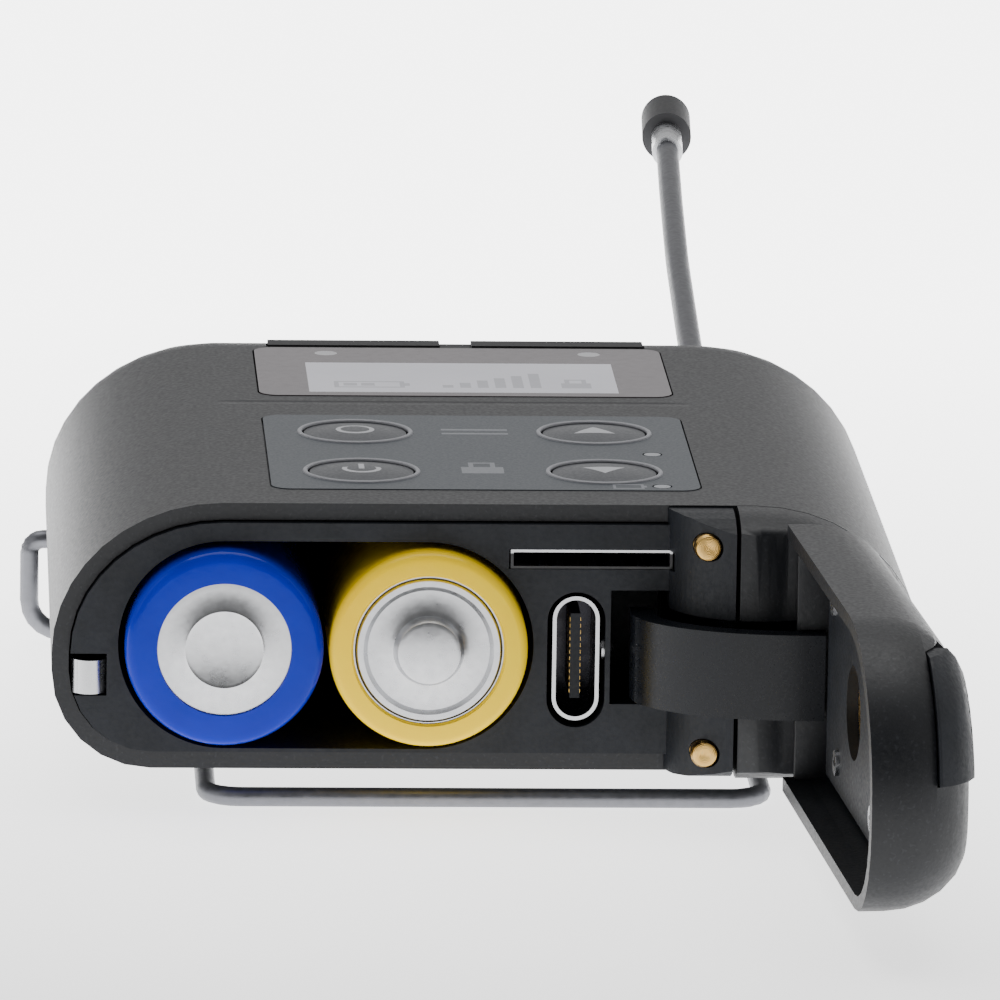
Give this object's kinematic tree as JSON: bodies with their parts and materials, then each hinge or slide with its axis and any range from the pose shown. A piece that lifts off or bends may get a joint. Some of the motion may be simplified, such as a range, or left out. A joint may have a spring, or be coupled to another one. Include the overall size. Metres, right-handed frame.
{
  "type": "wireless bodypack transmitter",
  "caption": "Pocket radio transmitter with a display and keys, hinged battery lid, round cells, wire belt clip and a whip antenna.",
  "frame": {"origin": "centre of the housing's back face", "axes": "+X to the right seen from the battery end, +Y from the battery end to the antenna end, +Z out of the front face"},
  "size_m": [0.0652, 0.2394, 0.0223],
  "materials": {
    "housing": "fine-grain satin black paint",
    "frame_black": "matt moulded plastic",
    "window": "smoked gloss",
    "lcd": "grey liquid crystal cell",
    "keypad": "grained membrane",
    "board": "circuit board",
    "steel": "bright steel",
    "clear": "frosted clear",
    "wrap_blue": "printed shrink wrap",
    "wrap_yellow": "printed shrink wrap",
    "brass": "plated brass",
    "wire": "satin spring wire",
    "whip": "grey jacket",
    "rubber": "moulded rubber",
    "nickel": "satin nickel plate"
  },
  "bodies": {
    "body": {"housing": "housing", "chassis": "frame_black", "top_guard": "rubber", "display_window": "window", "lcd_module": "lcd", "keypad_overlay": "keypad", "dome_switches": "steel", "key_board": "board", "main_board": "board", "radio_shield": "steel", "light_pipes": "clear", "usb_shell": "steel", "usb_tongue": "frame_black", "card_socket": "steel", "cell_spring": "brass", "cell_contact_bar": "brass", "latch_catch": "steel", "detent_barrel": "steel", "hinge_pin": "steel", "antenna_nut": "frame_black", "antenna_whip": "whip", "antenna_ferrule": "nickel", "antenna_tip": "rubber", "mic_shell": "nickel", "mic_nut": "nickel", "mic_insert": "frame_black", "mic_pins": "brass"},
    "lid": {"lid_shell": "housing", "lid_arm": "housing", "lid_plate": "frame_black", "lid_contacts": "brass", "lid_screws": "steel"},
    "latch": {"latch_slider": "frame_black"},
    "blue_cell": {"cell_blue_can": "steel", "cell_blue_wrap": "wrap_blue"},
    "yellow_cell": {"cell_yellow_can": "steel", "cell_yellow_wrap": "wrap_yellow"},
    "key_ul": {"key_upper_left": "keypad"},
    "key_ur": {"key_upper_right": "keypad"},
    "key_ll": {"key_lower_left": "keypad"},
    "key_lr": {"key_lower_right": "keypad"},
    "pin_upper": {"spring_pin_upper": "brass"},
    "pin_lower": {"spring_pin_lower": "brass"},
    "plunger": {"detent_plunger": "steel"},
    "clip": {"wire_clip": "wire"}
  },
  "joints": [
    {"name": "lid_hinge", "type": "hinge", "parent": "body", "child": "lid", "pos_m": [0.0188, -0.0338, 0.00955], "axis": [0, 0, 1], "range_deg": [-94, 0]},
    {"name": "latch_slide", "type": "slide", "parent": "lid", "child": "latch", "axis": [-0.0698, 0.9976, 0], "range_m": [0, 0.002]},
    {"name": "blue_cell_slide", "type": "slide", "parent": "body", "child": "blue_cell", "axis": [0, -1, 0], "range_m": [0, 0.05]},
    {"name": "yellow_cell_slide", "type": "slide", "parent": "body", "child": "yellow_cell", "axis": [0, -1, 0], "range_m": [0, 0.05]},
    {"name": "key_ul_press", "type": "slide", "parent": "body", "child": "key_ul", "axis": [0, 0, -1], "range_m": [0, 0.00035], "stiffness_N_per_m": 600},
    {"name": "key_ur_press", "type": "slide", "parent": "body", "child": "key_ur", "axis": [0, 0, -1], "range_m": [0, 0.00035], "stiffness_N_per_m": 600},
    {"name": "key_ll_press", "type": "slide", "parent": "body", "child": "key_ll", "axis": [0, 0, -1], "range_m": [0, 0.00035], "stiffness_N_per_m": 600},
    {"name": "key_lr_press", "type": "slide", "parent": "body", "child": "key_lr", "axis": [0, 0, -1], "range_m": [0, 0.00035], "stiffness_N_per_m": 600},
    {"name": "pin_upper_press", "type": "slide", "parent": "body", "child": "pin_upper", "axis": [0, 1, 0], "range_m": [0, 0.0008], "stiffness_N_per_m": 400},
    {"name": "pin_lower_press", "type": "slide", "parent": "body", "child": "pin_lower", "axis": [0, 1, 0], "range_m": [0, 0.0008], "stiffness_N_per_m": 400},
    {"name": "plunger_press", "type": "slide", "parent": "body", "child": "plunger", "axis": [-1, 0, 0], "range_m": [0, 0.00035], "stiffness_N_per_m": 400},
    {"name": "clip_swing", "type": "hinge", "parent": "body", "child": "clip", "pos_m": [0, 0.02, 0.00483], "axis": [1, 0, 0], "range_deg": [0, 12], "stiffness_Nm_per_rad": 0.3}
  ]
}
